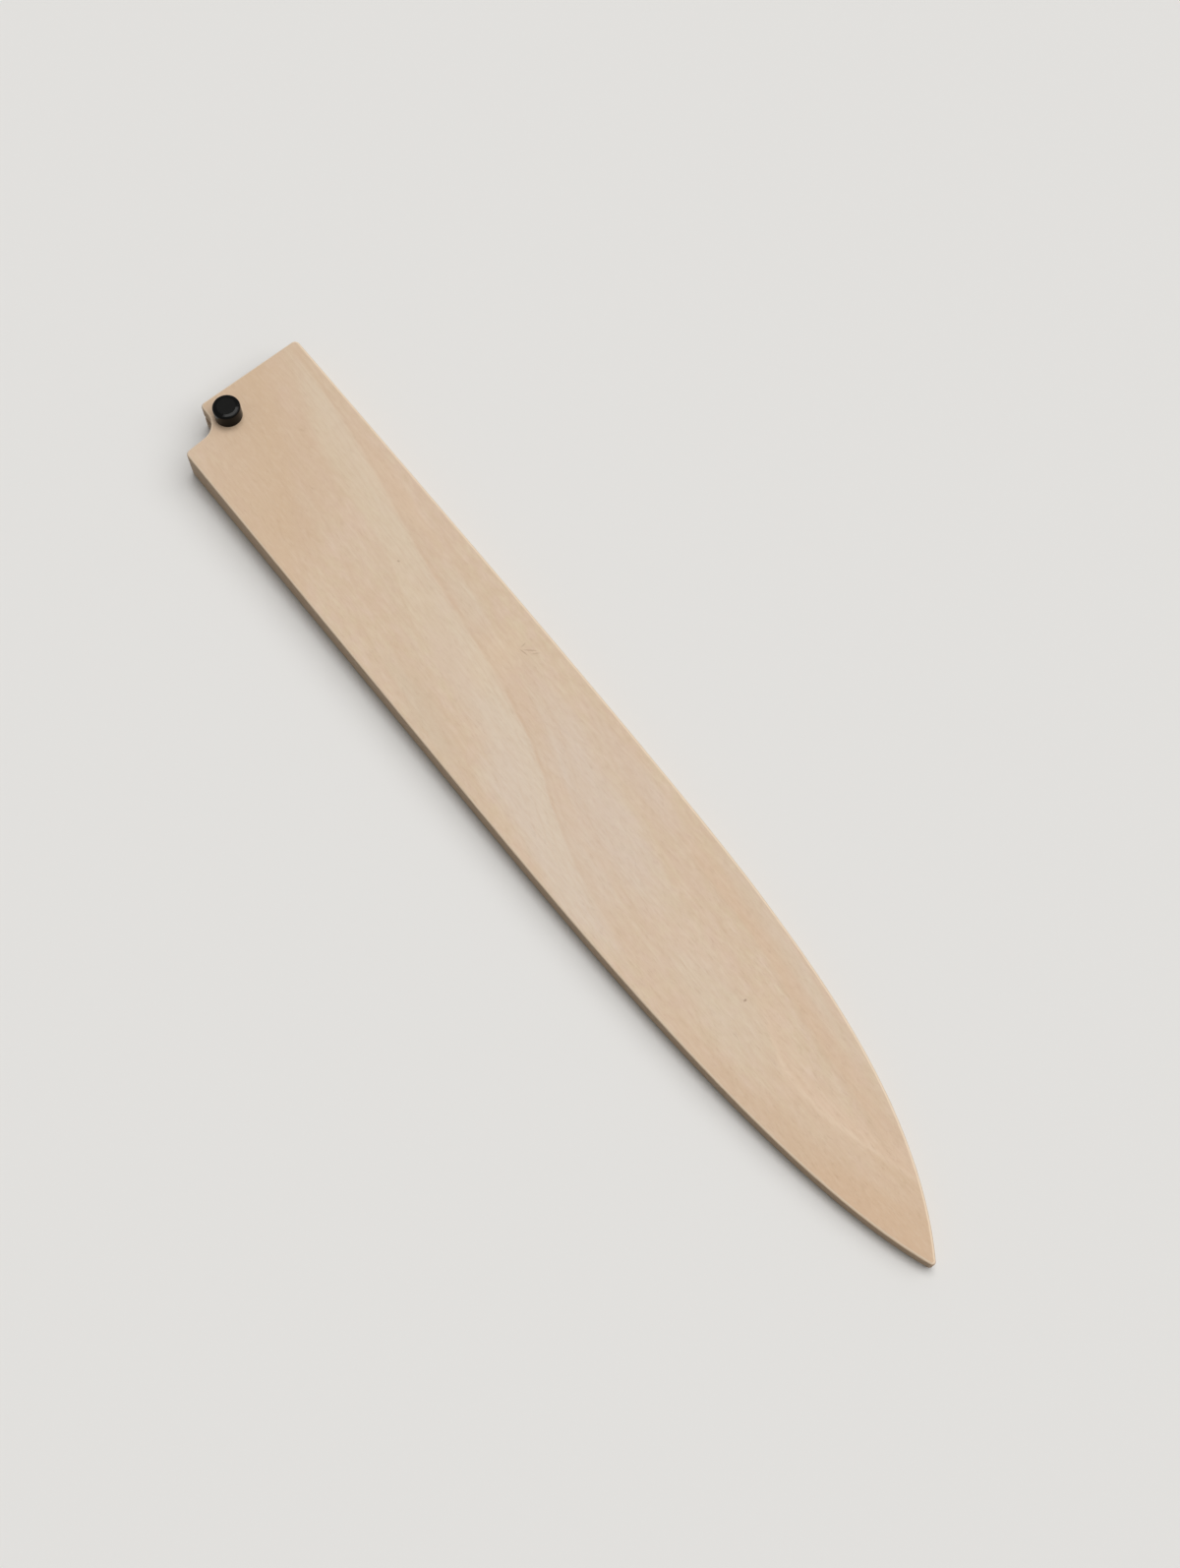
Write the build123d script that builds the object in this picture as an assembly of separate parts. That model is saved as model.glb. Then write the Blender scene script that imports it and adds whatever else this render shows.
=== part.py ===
from build123d import *
import os

# A wooden guard for the blade of a long slicing knife, lying flat on its back board.
# Two thin boards are glued over a pair of strips, which leave a flat slot for the blade,
# and a turned pin through both boards locks the blade in behind its heel.
# It is drawn from the corner where the mouth would meet the spine side: x runs to the tip,
# y from the spine side to the cutting-edge side, and z up from the back board's face.
# The finished pieces are then moved so that the origin is the middle of the base.
# All sizes are in millimetres.

# The whole guard
length = 290.0
width = 43.5
mouth_thickness = 10.0
tip_thickness = 5.0

# The slot and the wood around it
slot_thickness = 2.2
spine_wall = 3.0
edge_wall = 3.3
tip_wall = 6.0

# The mouth: a lip that covers the blade's heel, and a step cut back for the knife's neck
lip_lean = 0.98
step_depth = 11.3
step_reach = 9.5
cut_lean = 1.1
step_radius = 5.4
edge_corner_radius = 1.5
lip_corner_radius = 1.4
spine_corner_radius = 1.5
tip_radius = 0.9

# The softened edge all round both broad faces
arris_radius = 0.7

# The pin, and the wood left between its hole and the lip's corner, each way
pin_end_wood = 4.85
pin_side_wood = 1.8
shank_radius = 2.5
shank_clearance = 0.05
shank_chamfer = 0.4
shank_recess = 0.5
button_radius = 3.75
button_height = 4.35
crown_radius = 2.6
crown_drop = 0.09
shoulder_radius = 0.6

# Cuts and trimming solids run this far past the wood
overrun = 5.0

# The pointed outline reaches past the rounded tip by this share of the tip's radius
tip_overshoot_share = 1.01

# The curved sides, as shares of the length and of the width
tip_height_share = 0.339
spine_turn_share = 0.4215
spine_lead_share = 0.624
spine_tail_share = 0.877
edge_lead_share = 0.189
join_lead_share = 0.568
join_shares = (0.687, 0.936)
join_swing_share = 0.654
belly_shares = (0.905, 0.830)


def height(at_mouth, at_tip, x):
    """Height at x of a plane that falls evenly from the mouth to the tip."""
    return at_mouth + (at_tip - at_mouth) * x / length


def layer(low, high):
    """Everything between two sloping planes, each given by its heights at mouth and tip."""
    ends = (-overrun, length + overrun)
    under = [(x, height(*low, x)) for x in ends]
    over = [(x, height(*high, x)) for x in reversed(ends)]
    profile = make_face(Polyline(*under, *over, close=True))
    return extrude(Plane.XZ * profile, amount=width + overrun, both=True)


def leaf(spine_y, edge_y, tip_x, mouth):
    """The flat outline of the guard or of its slot.

    Its sides run from the points of the mouth to a tip at tip_x. The spine side is
    straight and then bends up, and the cutting-edge side is one long belly.
    """

    def place(x_share, y_share):
        return (tip_x * x_share, spine_y + (edge_y - spine_y) * y_share)

    tip = place(1, tip_height_share)
    turn = place(spine_turn_share, 0)
    spine = Bezier(turn, place(spine_lead_share, 0), place(spine_tail_share, 0), tip)
    join = Vector(*place(*join_shares))
    before = Vector(*place(join_lead_share, 1))
    after = join + (join - before) * join_swing_share
    belly = Bezier(tip, place(*belly_shares), after, join)
    side = Bezier(join, before, place(edge_lead_share, 1), place(0, 1))
    return make_face(Polyline(place(0, 1), *mouth, turn) + spine + belly + side)


def rounded(face, corners):
    """The face with each of the given corner points rounded."""
    for point, radius in corners:
        corner = face.vertices().sort_by_distance(point)[0]
        face = fillet(corner, radius)
    return face


def guard_outline():
    """The outer outline, with the lip and the step at the mouth."""
    lip = (lip_lean, step_depth)
    step = (step_reach, step_depth)
    spine_corner = (step_reach + cut_lean, 0)
    point_x = length + tip_radius * tip_overshoot_share
    face = leaf(0, width, point_x, [lip, step, spine_corner])
    corners = [
        ((0, width), edge_corner_radius),
        (lip, lip_corner_radius),
        (step, step_radius),
        (spine_corner, spine_corner_radius),
        ((point_x, width * tip_height_share), tip_radius),
    ]
    return rounded(face, corners)


def slot_outline():
    """The outline of the slot, which runs out through the mouth."""
    edge_y = width - edge_wall
    mouth = [(-overrun, edge_y), (-overrun, spine_wall)]
    return leaf(spine_wall, edge_y, length - tip_wall, mouth)


def board_thickness(whole):
    """One board's thickness where the guard is as thick as given."""
    return (whole - slot_thickness) / 2


# Heights of the four planes that part the layers, at the mouth and at the tip
base = (0, 0)
slot_floor = (board_thickness(mouth_thickness), board_thickness(tip_thickness))
slot_roof = (slot_floor[0] + slot_thickness, slot_floor[1] + slot_thickness)
face_heights = (mouth_thickness, tip_thickness)

blank = extrude(guard_outline(), amount=mouth_thickness + overrun)
room = extrude(slot_outline(), amount=mouth_thickness + overrun)

# The pin stands square to the base, close to the corner between the lip's end and the step
hole_radius = shank_radius + shank_clearance
pin_x = lip_lean + pin_end_wood + hole_radius
pin_y = step_depth + pin_side_wood + hole_radius
hole = Pos(pin_x, pin_y) * extrude(Circle(hole_radius), amount=mouth_thickness + overrun)


def board(low, high, outer):
    """One board: its layer of the blank, softened around its outer face and bored for the pin."""
    wood = blank & layer(low, high)
    broad_faces = wood.faces().sort_by(SortBy.AREA)[-2:]
    outer_face = broad_faces.sort_by(Axis.Z)[outer]
    return fillet(outer_face.edges(), arris_radius) - hole


def strips():
    """The two strips around the slot, which meet in a level joint at the tip."""
    ring = (blank & layer(slot_floor, slot_roof)) - room
    joint_y = width * tip_height_share
    size = (length + 2 * overrun, joint_y + overrun, mouth_thickness + overrun)
    low_y = Pos(-overrun, -overrun) * Box(*size, align=Align.MIN)
    return ring & low_y, ring - low_y


def lock_pin():
    """The pin: a round button with a bevelled crown, on a plain shank."""
    seat = height(*face_heights, pin_x - button_radius)
    top = seat + button_height
    rim = top - crown_drop
    shoulder = button_radius - shoulder_radius
    head = Polyline((0, top), (crown_radius, top), (shoulder, rim))
    curve = TangentArc(
        (shoulder, rim), (button_radius, rim - shoulder_radius), tangent=(1, 0)
    )
    rest = Polyline(
        (button_radius, rim - shoulder_radius),
        (button_radius, seat),
        (shank_radius, seat),
        (shank_radius, shank_recess + shank_chamfer),
        (shank_radius - shank_chamfer, shank_recess),
        (0, shank_recess),
        (0, top),
    )
    profile = Plane.XZ * make_face(head + curve + rest)
    return Pos(pin_x, pin_y) * revolve(profile, Axis.Z)


spine_strip, edge_strip = strips()
pieces = {
    "back_board": board(base, slot_floor, 0),
    "spine_strip": spine_strip,
    "edge_strip": edge_strip,
    "front_board": board(slot_roof, face_heights, -1),
    "lock_pin": lock_pin(),
}

middle = blank.bounding_box().center()
os.makedirs("parts", exist_ok=True)
for name, piece in pieces.items():
    export_step(Pos(-middle.X, -middle.Y) * piece, f"parts/{name}.step")
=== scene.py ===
import math
from typing import NamedTuple

import bmesh
import bpy
import mathutils
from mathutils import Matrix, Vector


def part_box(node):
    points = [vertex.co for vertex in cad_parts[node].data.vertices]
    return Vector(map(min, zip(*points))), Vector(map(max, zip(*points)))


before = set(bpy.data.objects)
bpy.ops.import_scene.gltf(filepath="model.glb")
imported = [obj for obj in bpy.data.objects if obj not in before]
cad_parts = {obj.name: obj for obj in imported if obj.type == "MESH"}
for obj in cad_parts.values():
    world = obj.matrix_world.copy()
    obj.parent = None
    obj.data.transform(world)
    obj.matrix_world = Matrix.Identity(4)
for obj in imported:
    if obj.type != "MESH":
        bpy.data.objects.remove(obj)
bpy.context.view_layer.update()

# The guard lies on the bench with its mouth towards -X, its tip towards +X, its spine
# side towards -Y and its cutting-edge side towards +Y. The pin's button is on top.
# Lengths are in metres, and inside the finishes in millimetres.

MILLIMETRES = 1000

back_low, back_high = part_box("back_board")
strip_low, strip_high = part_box("edge_strip")
pin_low, pin_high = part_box("lock_pin")
pin_middle = (pin_low + pin_high) / 2

# The glue joints are level across the guard and fall evenly from the mouth to the tip.
# glue_lay lays the lower one at Z 0, and the upper one is the slot's height above it.
joint_fall = math.atan2(back_high.z - strip_low.z, strip_high.x - strip_low.x)
joint_height = back_high.z + strip_low.x * math.sin(joint_fall)
glue_lay = ((0, 0, -joint_height * MILLIMETRES), (0, -math.degrees(joint_fall), 0))
slot_height = (strip_high.z - back_high.z) * MILLIMETRES


# Mixing a finish


class Finish:
    """A finish being mixed: a material with one glossy shader and the patterns that feed it."""

    def __init__(self, name):
        self.material = bpy.data.materials.new(name)
        self.material.use_nodes = True
        self.nodes = self.material.node_tree.nodes
        self.links = self.material.node_tree.links
        self.shader = self.nodes["Principled BSDF"]

    def feed(self, socket, value):
        """Sets a socket to a plain value, or joins a pattern to it."""
        if isinstance(value, bpy.types.NodeSocket):
            self.links.new(value, socket)
        else:
            socket.default_value = value

    def place(self, shift=(0, 0, 0), turn=(0, 0, 0)):
        """Where a point lies on the piece, in millimetres, turned and then shifted."""
        spot = self.nodes.new("ShaderNodeTexCoord")
        lay = self.nodes.new("ShaderNodeMapping")
        lay.inputs["Location"].default_value = shift
        lay.inputs["Rotation"].default_value = [math.radians(angle) for angle in turn]
        lay.inputs["Scale"].default_value = [MILLIMETRES] * 3
        self.links.new(spot.outputs["Object"], lay.inputs["Vector"])
        return lay.outputs["Vector"]

    def facing(self):
        """How far the surface faces along X, Y and Z, from -1 to 1."""
        spot = self.nodes.new("ShaderNodeTexCoord")
        return self.parts(spot.outputs["Normal"])

    def parts(self, vector):
        """The X, Y and Z of a vector."""
        split = self.nodes.new("ShaderNodeSeparateXYZ")
        self.links.new(vector, split.inputs["Vector"])
        return split.outputs["X"], split.outputs["Y"], split.outputs["Z"]

    def point(self, x=0.0, y=0.0, z=0.0):
        """A vector from its three parts."""
        joined = self.nodes.new("ShaderNodeCombineXYZ")
        for socket, value in zip(joined.inputs, (x, y, z)):
            self.feed(socket, value)
        return joined.outputs["Vector"]

    def work_out(self, operation, *values):
        """One step of arithmetic."""
        step = self.nodes.new("ShaderNodeMath")
        step.operation = operation
        for socket, value in zip(step.inputs, values):
            self.feed(socket, value)
        return step.outputs["Value"]

    def add(self, *values):
        """All the values added up."""
        total = values[0]
        for value in values[1:]:
            total = self.work_out("ADD", total, value)
        return total

    def less(self, value, other):
        """The value less the other one."""
        return self.work_out("SUBTRACT", value, other)

    def times(self, *values):
        """All the values multiplied."""
        total = values[0]
        for value in values[1:]:
            total = self.work_out("MULTIPLY", total, value)
        return total

    def size(self, value):
        """The value without its sign."""
        return self.work_out("ABSOLUTE", value)

    def between(self, value, start, end, low=0.0, high=1.0):
        """Goes smoothly from low to high as the value goes from start to end."""
        ramp = self.nodes.new("ShaderNodeMapRange")
        ramp.interpolation_type = "SMOOTHSTEP"
        for name, amount in zip(
            ("Value", "From Min", "From Max", "To Min", "To Max"),
            (value, start, end, low, high),
        ):
            self.feed(ramp.inputs[name], amount)
        return ramp.outputs["Result"]

    def cloud(self, where, size, detail=2.0, rough=0.5):
        """A soft random pattern from 0 to 1, with patches about this many millimetres across."""
        noise = self.nodes.new("ShaderNodeTexNoise")
        noise.inputs["Scale"].default_value = 1 / size
        noise.inputs["Detail"].default_value = detail
        noise.inputs["Roughness"].default_value = rough
        self.links.new(where, noise.inputs["Vector"])
        return noise.outputs["Fac"]

    def bands(self, depth, size, detail=0.0):
        """Random bands from 0 to 1, about this many millimetres deep."""
        noise = self.nodes.new("ShaderNodeTexNoise")
        noise.noise_dimensions = "1D"
        noise.inputs["Scale"].default_value = 1 / size
        noise.inputs["Detail"].default_value = detail
        self.links.new(depth, noise.inputs["W"])
        return noise.outputs["Fac"]

    def sweep(self, along, points):
        """A smooth line drawn through (along, height) points, both in millimetres."""
        curve = self.nodes.new("ShaderNodeFloatCurve")
        start, end = points[0][0], points[-1][0]
        low = min(height for _, height in points)
        high = max(height for _, height in points)
        bends = curve.mapping.curves[0].points
        while len(bends) < len(points):
            bends.new(0.5, 0.5)
        for bend, (at, height) in zip(bends, points):
            bend.location = ((at - start) / (end - start), (height - low) / (high - low))
            bend.handle_type = "AUTO"
        curve.mapping.update()
        share = self.work_out("DIVIDE", self.less(along, start), end - start)
        self.feed(curve.inputs["Value"], share)
        return self.add(self.times(curve.outputs["Value"], high - low), low)

    def away(self, where, middle, size, turn=0.0):
        """How far off an oval spot is: 0 at its middle and 1 at its rim."""
        lay = self.nodes.new("ShaderNodeMapping")
        lay.vector_type = "TEXTURE"
        lay.inputs["Location"].default_value = middle
        lay.inputs["Rotation"].default_value = (0, 0, math.radians(turn))
        lay.inputs["Scale"].default_value = size
        self.links.new(where, lay.inputs["Vector"])
        length = self.nodes.new("ShaderNodeVectorMath")
        length.operation = "LENGTH"
        self.links.new(lay.outputs["Vector"], length.inputs[0])
        return length.outputs["Value"]

    def blend(self, share, colour, other):
        """Goes from one colour to the other by the share."""
        mix = self.nodes.new("ShaderNodeMix")
        mix.data_type = "RGBA"
        self.feed(mix.inputs[0], share)
        self.feed(mix.inputs[6], colour)
        self.feed(mix.inputs[7], other)
        return mix.outputs[2]

    def relief(self, height, depth):
        """Raises the surface by the height pattern, by at most this many metres."""
        bump = self.nodes.new("ShaderNodeBump")
        bump.inputs["Strength"].default_value = 1.0
        bump.inputs["Distance"].default_value = depth
        self.links.new(height, bump.inputs["Height"])
        self.links.new(bump.outputs["Normal"], self.shader.inputs["Normal"])


def tone(red, green, blue):
    """A colour as it is seen on a screen, from 0 to 255, as the shader wants it."""

    def linear(level):
        share = level / 255
        if share <= 0.04045:
            return share / 12.92
        return ((share + 0.055) / 1.055) ** 2.4

    return (linear(red), linear(green), linear(blue), 1.0)


# The wood: pale magnolia, sanded and bare, with its grain along the guard

ground = tone(209, 185, 158)
warm_ground = tone(211, 185, 162)
cool_ground = tone(210, 189, 165)
brown = tone(200, 171, 142)
cream = tone(222, 203, 180)
pink = tone(214, 187, 172)
straw = tone(208, 191, 157)
end_brown = tone(196, 164, 132)
side_yellow = tone(204, 175, 136)
shaded = tone(186, 156, 126)
# A paler tone painted on the arrises as a highlight
pore = tone(168, 136, 106)
arris_highlight = tone(236, 216, 191)
glue = tone(150, 116, 84)

# Half the glue line's width in millimetres, where it is full and where it is gone
glue_line = (0.02, 0.09)

# How far the fibres stand up, in metres
fibre_relief = 0.00002


class Layer(NamedTuple):
    """A growth layer that shows on a broad face, in millimetres.

    edge is the path of its edge, and side is 1 or -1 for the side of the edge on which
    the layer lies, towards +Y or -Y. soft is how blurred the edge is. The tone fades out
    over the depth, and runs between the two ends. line is how dark the edge itself is.
    """

    edge: list
    side: int
    colour: tuple
    share: float
    soft: float
    depth: float
    ends: tuple
    line: float


class Patch(NamedTuple):
    """A soft oval of another tone, in millimetres: its middle, half its size, and its turn."""

    middle: tuple
    size: tuple
    turn: float
    colour: tuple
    share: float


class Magnolia(Finish):
    """The finish of one piece of the wood, cut from its own place in the plank.

    lay shifts and turns the plank under the piece. The colour starts as the ground tone,
    and each step below stains it further, so their order matters.
    """

    # How much the grain leans through the thickness, and how far it wanders
    lean = 1.6
    wander = 2.4
    fine_wander = 1.3

    # How deep patches and flecks go into the wood, and the most that a layer's ends fade over
    patch_depth = 40
    fleck_depth = 1.0
    longest_fade = 14.0

    # The dark line at a layer's edge: how far outside the layer it is, and half its width
    rim_set = 0.4
    rim_half_width = 0.8

    # The fine growth lines: about how deep their broad bands are, and how far apart the
    # thin ones of late wood
    broad_band = 5.0
    late_gap = 4.2

    def __init__(self, name, lay):
        super().__init__(name)
        self.colour = ground
        self.plank = self.place(*lay)
        self.x, self.y, self.z = self.parts(self.plank)

        # The sawn ends, the sides and the sanded arrises, by the way that the surface faces
        facing_x, facing_y, facing_z = self.facing()
        self.upright = self.size(facing_z)
        self.end = self.between(self.size(facing_x), 0.75, 0.98)
        self.side = self.between(self.size(facing_y), 0.5, 0.95)
        self.arris = self.times(
            self.between(self.upright, 0.4, 0.8), self.between(self.upright, 0.93, 0.998, 1, 0)
        )

        # Every line of the grain wanders a little, and leans through the thickness
        self.drift = self.grain(size=26, press=0.22, detail=1.0)
        self.fine_drift = self.grain(size=3.2, press=0.12)
        self.across = self.add(
            self.y,
            self.times(self.z, self.lean),
            self.times(self.less(self.drift, 0.5), self.wander),
            self.times(self.less(self.fine_drift, 0.5), self.fine_wander),
        )
        self.patchy = self.between(self.fine_drift, 0.35, 0.6, 0.35, 1.0)

        # The warmth of the wood comes and goes in long patches, and the fibres and pores run
        # along the plank and show as dots on its ends
        self.warm = self.grain(size=11, press=0.3, rough=0.55)
        self.fibres = self.grain(size=0.42, press=0.035, detail=3.0, rough=0.6)
        self.open_pores = self.between(self.grain(size=0.16, press=0.06, detail=1.0), 0.63, 0.72)

    def grain(self, size, press, detail=2.0, rough=0.5, shift=(0, 0)):
        """A soft random pattern, drawn out along the plank as grain is.

        Its patches are about size millimetres across. press is the share to which the
        plank's length is pressed together under the pattern: at 0.25 the patches are
        four times as long as they are wide. shift takes it from elsewhere in the plank.
        """
        lay = self.nodes.new("ShaderNodeMapping")
        lay.inputs["Location"].default_value = (*shift, 0)
        lay.inputs["Scale"].default_value = (press, 1, 1)
        self.links.new(self.plank, lay.inputs["Vector"])
        return self.cloud(lay.outputs["Vector"], size, detail, rough)

    def stain(self, share, colour):
        """Takes the wood's colour towards another one by the share."""
        self.colour = self.blend(share, self.colour, colour)

    def mottle(self, pattern, share, high_colour, low_colour, top=0.68):
        """Stains the wood one way where a pattern is high, and the other way where it is low."""
        self.stain(self.times(self.between(pattern, 0.48, top), share), high_colour)
        self.stain(self.times(self.between(pattern, 0.52, 0.34), share), low_colour)

    def spot(self, patch, depth):
        """How far off a patch is, which goes this many millimetres deep: 1 at its rim."""
        return self.away(self.plank, (*patch.middle, 0), (*patch.size, depth), patch.turn)

    def cloudy_ground(self):
        """Long faint patches, warmer and cooler, and short mottling, fainter on the warm."""
        cool = self.grain(size=14, press=0.25, shift=(70, 0))
        self.stain(self.between(self.warm, 0.46, 0.64, 0, 0.7), warm_ground)
        self.stain(self.between(cool, 0.5, 0.66, 0, 0.45), cool_ground)

        mottled = self.between(self.warm, 0.3, 0.6, 0.34, 0.2)
        flakes = self.grain(size=1.9, press=0.36, detail=3.0, rough=0.65)
        self.mottle(flakes, mottled, brown, cream)
        tint = self.grain(size=2.7, press=0.5, detail=3.0, rough=0.6, shift=(0, 50))
        self.mottle(tint, mottled, pink, straw, top=0.66)

    def soft_patches(self, patches):
        """The broad patches of a face, with uneven rims, some of them a painted sheen."""
        unevenness = self.times(self.less(self.warm, 0.5), 1.6)
        for patch in patches:
            off = self.add(self.spot(patch, self.patch_depth), unevenness)
            self.stain(self.between(off, 0.35, 1.15, patch.share, 0), patch.colour)

    def growth_layers(self, layers):
        """The growth layers that cross a face, some with a fine brown line along the edge."""
        lines = 0.0
        for layer in layers:
            inside = self.times(self.less(self.across, self.sweep(self.x, layer.edge)), layer.side)
            start, end = layer.ends
            fade = min(self.longest_fade, (end - start) / 3)
            run = self.times(
                self.between(self.x, start - fade, start + fade),
                self.between(self.x, end - fade, end + fade, 1, 0),
            )
            shown = self.times(
                self.between(inside, -layer.soft, layer.soft),
                self.between(inside, layer.soft, layer.depth, layer.share, 0),
                run,
            )
            self.stain(shown, layer.colour)
            off = self.size(self.add(inside, self.rim_set))
            rim = self.between(off, 0.0, self.rim_half_width, layer.line, 0)
            lines = self.work_out("MAXIMUM", lines, self.times(rim, run))
        self.stain(self.times(lines, self.patchy), brown)

    def sawn_faces(self, shade):
        """End grain is darker, the sides are yellower, and some pieces are darker all over."""
        self.stain(self.times(self.end, 0.4), end_brown)
        self.stain(self.times(self.side, 0.45), side_yellow)
        self.stain(shade, shaded)

    def growth_lines(self, path):
        """Fine growth lines that follow a path, clearer on the ends."""
        depth = self.less(self.across, self.sweep(self.x, path))
        clear = self.add(self.times(self.end, 0.2), 0.18)
        broad = self.between(self.bands(depth, self.broad_band, 1.0), 0.42, 0.7)
        self.stain(self.times(broad, clear), brown)

        # Late wood shows as a thin line wherever a second set of bands is half way up
        second = self.bands(self.add(depth, 40), self.late_gap)
        late = self.between(self.size(self.less(second, 0.5)), 0.0, 0.04, 1, 0)
        self.stain(self.times(late, self.patchy, clear), brown)

    def fibres_and_pores(self):
        """The sanded nap, the fibres, and the open pores, which gape on the ends."""
        nap = self.grain(size=0.95, press=0.3, rough=0.6)
        self.mottle(nap, 0.12, brown, cream)
        self.stain(self.between(self.fibres, 0.35, 0.75, 0, 0.2), brown)
        gaping = self.add(self.times(self.end, 0.35), 0.13)
        self.stain(self.times(self.open_pores, gaping), pore)

    def small_marks(self, flecks):
        """Flecks, specks and scratches, which lie only in the surface."""
        for fleck in flecks:
            off = self.spot(fleck, self.fleck_depth)
            self.stain(self.between(off, 0.4, 1.2, fleck.share, 0), fleck.colour)

    def paint_arris_highlight(self):
        """The arrises are painted paler, a painted highlight where light catches their rounding.
        """
        self.stain(self.times(self.arris, 0.8), arris_highlight)

    def glued_joints(self):
        """A hairline of glue along each joint, on the sides and the ends."""
        rise = self.parts(self.place(*glue_lay))[2]
        lower, upper = (
            self.between(self.size(height), *glue_line, 1, 0)
            for height in (rise, self.less(rise, slot_height))
        )
        seen = self.between(self.upright, 0.1, 0.5, 0.45, 0)
        uneven = self.between(self.drift, 0.3, 0.6, 0.5, 1)
        self.stain(self.times(self.work_out("MAXIMUM", lower, upper), seen, uneven), glue)

    def sanded_surface(self):
        """Joins the colour to the shader, with the dullness and the feel of bare sanded wood."""
        self.feed(self.shader.inputs["Base Color"], self.colour)
        dull = self.add(
            self.between(self.fibres, 0.3, 0.7, 0.5, 0.6),
            self.times(self.end, 0.12),
            self.times(self.arris, -0.08),
            self.times(self.open_pores, 0.1),
        )
        self.feed(self.shader.inputs["Roughness"], dull)
        self.shader.inputs["IOR"].default_value = 1.5
        self.shader.inputs["Specular IOR Level"].default_value = 0.5
        rough_face = self.less(self.fibres, self.times(self.open_pores, 0.8))
        self.relief(rough_face, fibre_relief)


def magnolia(name, lay, growth_line, shade, layers=(), patches=(), flecks=()):
    """The wood of one piece.

    growth_line is the path that its fine growth lines follow, shade is how much darker
    than the front board it is, and layers, patches and flecks show on its broad face.
    """
    wood = Magnolia(name, lay)
    wood.cloudy_ground()
    wood.soft_patches(patches)
    wood.growth_layers(layers)
    wood.sawn_faces(shade)
    wood.growth_lines(growth_line)
    wood.fibres_and_pores()
    wood.small_marks(flecks)
    wood.paint_arris_highlight()
    wood.glued_joints()
    wood.sanded_surface()
    return wood.material


# The pin: turned from black stock and polished, with faint turning marks on its crown

deep_black = tone(1, 1, 1)
smeared_black = tone(4, 4, 3)
# The grey of a painted reflection on the crown's flat
crown_reflection_grey = tone(19, 19, 18)

# Where the painted grey reflection on the crown's flat ends, in millimetres from the axis,
# and how far the turning marks stand up, in metres
crown_reflection_rim = (2.3, 2.7)
turning_relief = 0.0000006


def polished_black(name):
    """Glossy black, a little smeared by thumbs, with a grey reflection painted on the flat of its
    crown.
    """
    black = Finish(name)
    axis = (-pin_middle.x * MILLIMETRES, -pin_middle.y * MILLIMETRES, 0)
    around = black.place(shift=axis)
    smear = black.cloud(around, size=2.6)
    x, y, _ = black.parts(around)
    radius = black.away(black.point(x, y), (0, 0, 0), (1, 1, 1))
    # The crown's flat is painted grey, a painted reflection of the pale room
    painted_crown_reflection = black.times(
        black.between(radius, *crown_reflection_rim, 1, 0), black.between(black.facing()[2], 0.9, 0.99)
    )
    colour = black.blend(smear, deep_black, smeared_black)
    colour = black.blend(painted_crown_reflection, colour, crown_reflection_grey)
    black.feed(black.shader.inputs["Base Color"], colour)
    black.feed(black.shader.inputs["Roughness"], black.between(smear, 0.3, 0.75, 0.08, 0.12))
    black.shader.inputs["IOR"].default_value = 1.5
    black.shader.inputs["Specular IOR Level"].default_value = 0.1

    rings = black.nodes.new("ShaderNodeTexWave")
    rings.wave_type = "RINGS"
    rings.rings_direction = "Z"
    rings.inputs["Scale"].default_value = 1.6
    rings.inputs["Distortion"].default_value = 0.6
    rings.inputs["Detail"].default_value = 2.0
    black.links.new(around, rings.inputs["Vector"])
    black.relief(rings.outputs["Fac"], turning_relief)
    return black.material


def dress(node, finish):
    """Gives a piece its finish."""
    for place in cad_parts[node].material_slots:
        place.material = finish


# The front board's figure: growth layers that cross it from the mouth to the spine side,
# soft patches, among them a painted sheen and a painted streak of light, and small marks.
# Places are X and Y in millimetres from the guard's middle.

clear_edge = [
    (-145, 19.3),
    (-115, 17.2),
    (-100, 14.9),
    (-76, 10.3),
    (-49, 6.2),
    (-33, 3.9),
    (-16, 0.3),
    (-7, -2.4),
    (3, -6.1),
    (19, -11.2),
    (32, -14.0),
    (51, -16.5),
    (70, -20.5),
]
cream_edge = [(-134, 15.5), (-124, 11), (-110, 7), (-80, 2.3), (-60, -4), (-30, -13.5), (0, -20.5)]
brown_edge = [(-144, 10), (-124, 2.5), (-111, -4), (-99, -12.4), (-87, -18.2)]
lower_edge = [(-22, 19.2), (18, 10), (51, 5)]
tip_edge = [(28, 12.5), (65, 9.6), (78, 7.5), (92, 5.5), (112, 3.2), (128, 1.2)]
pale_edge = [(70, 1.0), (77, -0.4), (84, -3.0), (92, -5.2), (98, -5.0), (112, -2.4), (125, 1.0)]
front_layers = [
    Layer(cream_edge, 1, tone(213, 195, 169), 0.6, 2.4, 12.0, (-132, -50), 0.0),
    Layer(cream_edge, -1, tone(206, 183, 158), 0.4, 1.2, 6.0, (-80, -8), 0.25),
    Layer(clear_edge, -1, tone(213, 196, 173), 0.5, 0.9, 8.0, (-140, 20), 0.55),
    Layer(clear_edge, 1, tone(208, 183, 158), 0.35, 0.9, 5.5, (-125, 45), 0.0),
    Layer(brown_edge, -1, tone(205, 177, 146), 0.75, 3.0, 26.0, (-155, -70), 0.2),
    Layer(lower_edge, 1, tone(207, 183, 158), 0.4, 1.2, 4.5, (-25, 50), 0.2),
    Layer(tip_edge, 1, tone(208, 178, 149), 0.7, 0.8, 7.0, (30, 125), 0.45),
    Layer(pale_edge, 1, tone(217, 189, 162), 0.7, 0.9, 7.5, (76, 128), 0.0),
    Layer(pale_edge, 1, tone(222, 199, 173), 0.6, 0.5, 1.7, (82, 122), 0.0),
    Layer(pale_edge, -1, tone(207, 179, 148), 0.45, 0.9, 14.0, (84, 150), 0.0),
]
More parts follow.
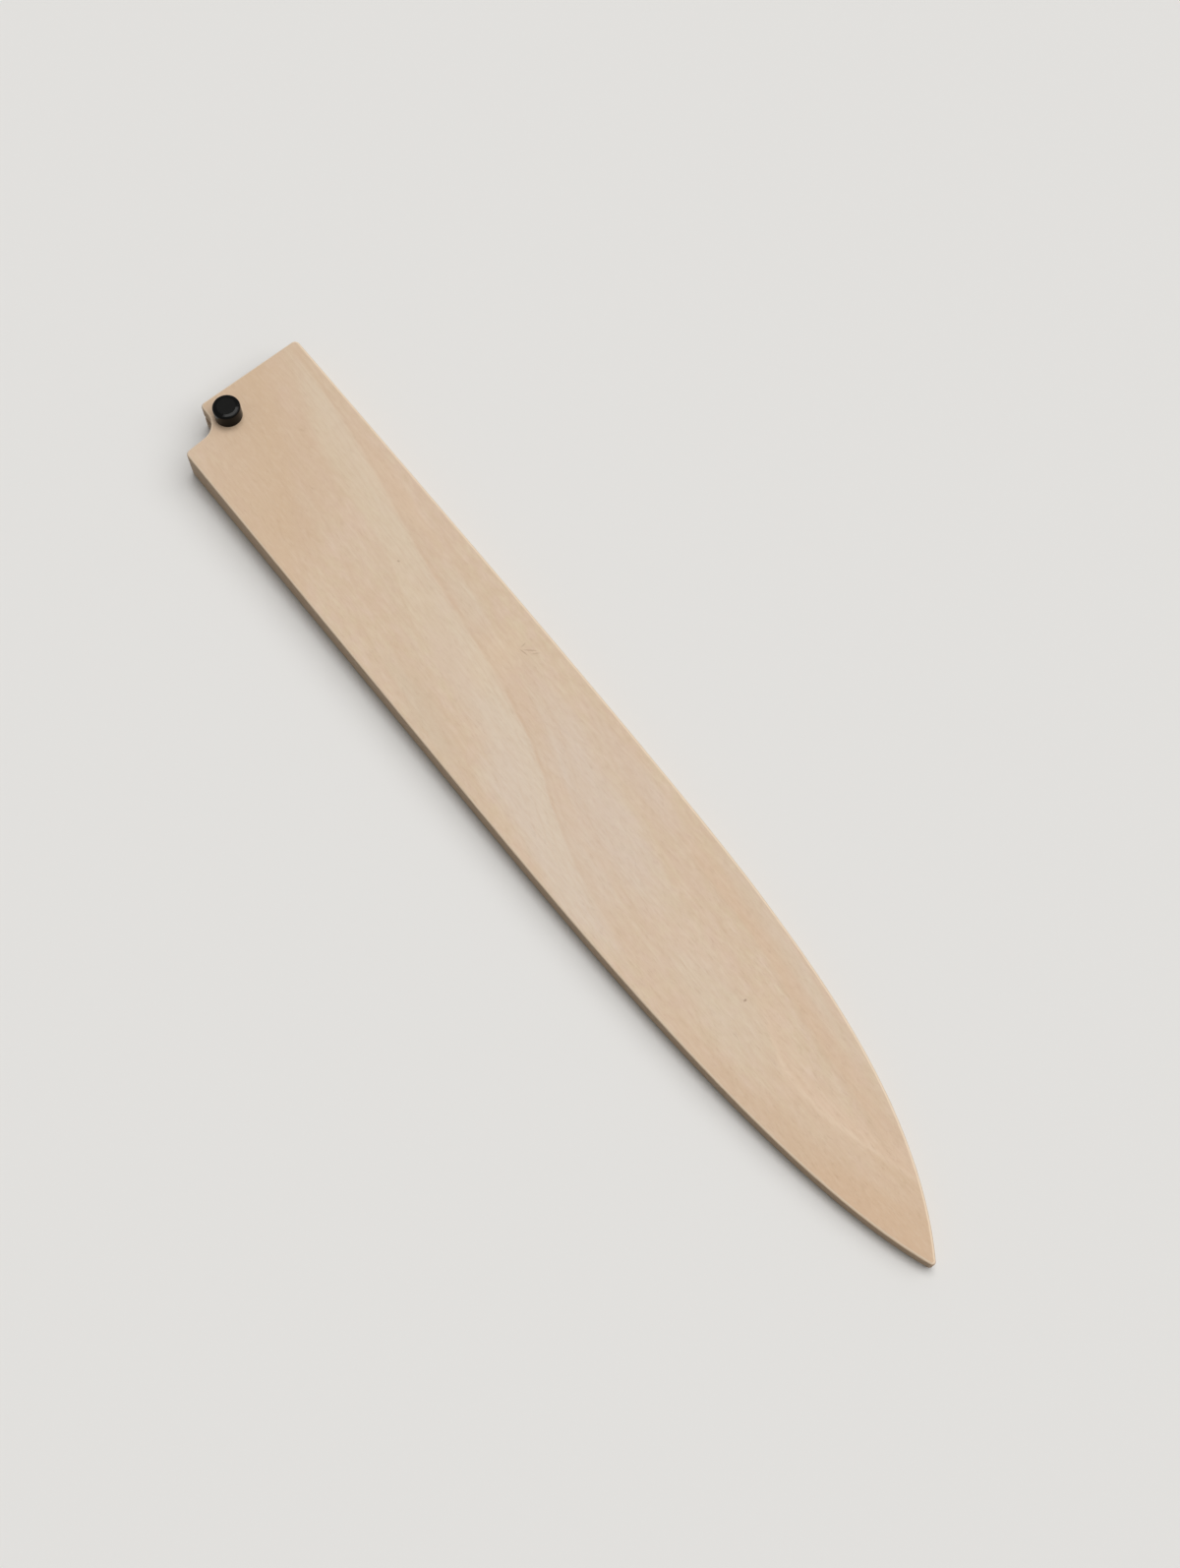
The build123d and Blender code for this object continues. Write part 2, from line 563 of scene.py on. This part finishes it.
front_patches_and_sheen = [
    Patch((-128, -2), (44, 24), -12, tone(205, 177, 149), 0.7),
    Patch((-100, -10), (11, 5), -15, tone(203, 175, 146), 0.6),
    Patch((-38, -16.5), (20, 4.5), -6, tone(204, 184, 159), 0.75),
    # Painted sheen, the windows' soft reflection: the pale bluish patches at (2, -9), (14, 1) and
    # (-14, 8.5)
    Patch((2, -9), (44, 10), -12, tone(212, 195, 178), 0.8),
    Patch((-36, -1), (28, 7), -14, tone(213, 195, 173), 0.5),
    Patch((14, 1), (34, 9), -12, tone(210, 192, 176), 0.65),
    Patch((-14, 8.5), (20, 6), -10, tone(211, 192, 174), 0.5),
    Patch((10, 14.5), (26, 4), -4, tone(210, 189, 172), 0.6),
    Patch((-95, 15.7), (27, 4.5), -3, tone(216, 188, 160), 0.6),
    Patch((-54, 10), (15, 4), -8, tone(212, 196, 174), 0.5),
    Patch((-37, 6), (10, 8), -30, tone(219, 196, 166), 0.55),
    Patch((76, -18), (24, 3), -4, tone(210, 182, 155), 0.5),
    Patch((64, -5), (30, 8), -4, tone(210, 192, 169), 0.5),
    # A painted streak of light along the lower border
    Patch((70, 14.5), (32, 3.5), -7, tone(210, 192, 171), 0.5),
    Patch((106, -13), (38, 6), 9, tone(202, 173, 143), 0.8),
    Patch((140, -7), (34, 14), 0, tone(205, 173, 141), 0.85),
]

# A faint broad fleck, two dark specks and a small scratch of four strokes
speck = tone(128, 98, 72)
front_flecks = [
    Patch((-42.6, -3.1), (17, 4), -12, tone(210, 187, 165), 0.45),
    Patch((-74.0, 3.6), (0.45, 0.3), 20, speck, 0.4),
    Patch((70.9, -1.0), (0.35, 0.5), 0, speck, 0.6),
    Patch((-33.6, 13.2), (1.5, 0.2), 12, speck, 0.32),
    Patch((-33.0, 14.8), (1.9, 0.2), 48, speck, 0.36),
    Patch((-35.2, 14.4), (0.9, 0.2), 100, speck, 0.28),
    Patch((-31.4, 15.4), (1.2, 0.2), 60, speck, 0.25),
]

# The back board and the strips are plainer

back_growth_line = [(-150, -12), (-70, -6), (-10, 3), (60, 8), (150, 20)]
back_brown_edge = [(-60, -22), (20, -14), (90, -4), (150, 4)]
back_layers = [
    Layer(back_growth_line, 1, tone(214, 196, 172), 0.7, 1.0, 9.0, (-150, 60), 0.55),
    Layer(back_brown_edge, -1, tone(205, 177, 148), 0.7, 1.5, 9.0, (-50, 150), 0.45),
]
back_patches = [
    Patch((-60, 10), (40, 7), 5, tone(209, 183, 158), 0.6),
    Patch((70, -6), (40, 8), 8, tone(212, 193, 170), 0.5),
]
strip_growth_line = [(-150, 8), (-40, 2), (50, -3), (150, 4)]

# How the plank lies under each piece: its shift in millimetres and its turn in degrees. The
# figure of each board lies on its outer face, so the front's is raised and falls with the
# face, and the back's is turned over.

front_lay = ((0, 0, -7.5), (0, -0.99, 0))
back_lay = ((0, 0, 0), (180, 0, 0))
edge_lay = ((31, -22, 75), (0, 0, 1))
spine_lay = ((8, 26, 110), (0, 0, -1))

front_wood = magnolia(
    "front_wood", front_lay, clear_edge, 0.0, front_layers, front_patches_and_sheen, front_flecks
)
back_wood = magnolia("back_wood", back_lay, back_growth_line, 0.06, back_layers, back_patches)
dress("front_board", front_wood)
dress("back_board", back_wood)
dress("edge_strip", magnolia("edge_wood", edge_lay, strip_growth_line, 0.14))
dress("spine_strip", magnolia("spine_wood", spine_lay, strip_growth_line, 0.14))
dress("lock_pin", polished_black("pin_black"))


# The studio: a pale bench top, two soft windows and an even, pale room

daylight = (1.0, 0.995, 0.985)
bench_radius = 6.0
bench_gap = 0.00002

# The bench top's tone as it is seen, and as it throws light back up at the guard
bench_seen = tone(231, 230, 228)
bench_cast = tone(108, 101, 92)

# Where the photograph's camera was held, in metres, how it was turned, in degrees, and
# its lens on a 36 mm frame
camera_place = (0.14442, -0.10655, 0.46143)
camera_turn = (21.412, 0, 51.534)
camera_lens = 45.17
camera_frame = 36.0


def seen_directly(tree):
    """1 where the camera sees a surface itself, or in or through another one, and else 0."""
    path = tree.nodes.new("ShaderNodeLightPath")
    total = path.outputs["Is Camera Ray"]
    for kind in ("Is Glossy Ray", "Is Transmission Ray"):
        step = tree.nodes.new("ShaderNodeMath")
        step.operation = "MAXIMUM"
        tree.links.new(total, step.inputs[0])
        tree.links.new(path.outputs[kind], step.inputs[1])
        total = step.outputs["Value"]
    return total


def bench_top():
    """A plain pale top under the guard, which throws little light back up at it."""
    mesh = bpy.data.meshes.new("bench_top")
    bench = bpy.data.objects.new("bench_top", mesh)
    bpy.context.scene.collection.objects.link(bench)
    shape = bmesh.new()
    bmesh.ops.create_circle(shape, cap_ends=True, segments=96, radius=bench_radius)
    bmesh.ops.translate(shape, vec=(0, 0, back_low.z - bench_gap), verts=shape.verts)
    shape.to_mesh(mesh)
    shape.free()
    paper = Finish("bench_paper")
    direct = seen_directly(paper.material.node_tree)
    colour = paper.blend(direct, bench_cast, bench_seen)
    paper.feed(paper.shader.inputs["Base Color"], colour)
    paper.shader.inputs["Roughness"].default_value = 0.9
    paper.shader.inputs["Specular IOR Level"].default_value = 0.2
    mesh.materials.append(paper.material)


def room_light(level, seen):
    """An even light from all round, which the camera sees as a pale backdrop."""
    world = bpy.data.worlds.new("room")
    bpy.context.scene.world = world
    world.use_nodes = True
    tree = world.node_tree
    strength = tree.nodes.new("ShaderNodeMapRange")
    tree.links.new(seen_directly(tree), strength.inputs["Value"])
    strength.inputs["To Min"].default_value = level
    strength.inputs["To Max"].default_value = seen
    background = tree.nodes["Background"]
    background.inputs["Color"].default_value = (*daylight, 1.0)
    tree.links.new(strength.outputs["Result"], background.inputs["Strength"])


def window(name, direction, width, power):
    """Soft daylight through a distant window, which looks this many degrees wide."""
    data = bpy.data.lights.new(name, "SUN")
    data.angle = math.radians(width)
    data.energy = power
    data.color = daylight
    lamp = bpy.data.objects.new(name, data)
    bpy.context.scene.collection.objects.link(lamp)
    lamp.rotation_mode = "QUATERNION"
    lamp.rotation_quaternion = mathutils.Vector(direction).to_track_quat("Z", "Y")


def photograph_camera():
    """The camera of the photograph: held over the guard's tip half, looking down its length."""
    data = bpy.data.cameras.new("camera")
    data.sensor_width = camera_frame
    data.lens = camera_lens
    data.clip_start = 0.01
    data.clip_end = 20.0
    camera = bpy.data.objects.new("camera", data)
    bpy.context.scene.collection.objects.link(camera)
    camera.location = camera_place
    camera.rotation_euler = [math.radians(angle) for angle in camera_turn]
    bpy.context.scene.camera = camera


bench_top()
room_light(level=0.25, seen=0.78)
window("near_window", direction=(-0.25, 0.2, 0.95), width=26.0, power=0.95)
window("far_window", direction=(0.3, 0.45, 0.84), width=60.0, power=1.52)
photograph_camera()
bpy.context.scene.view_settings.view_transform = "Standard"
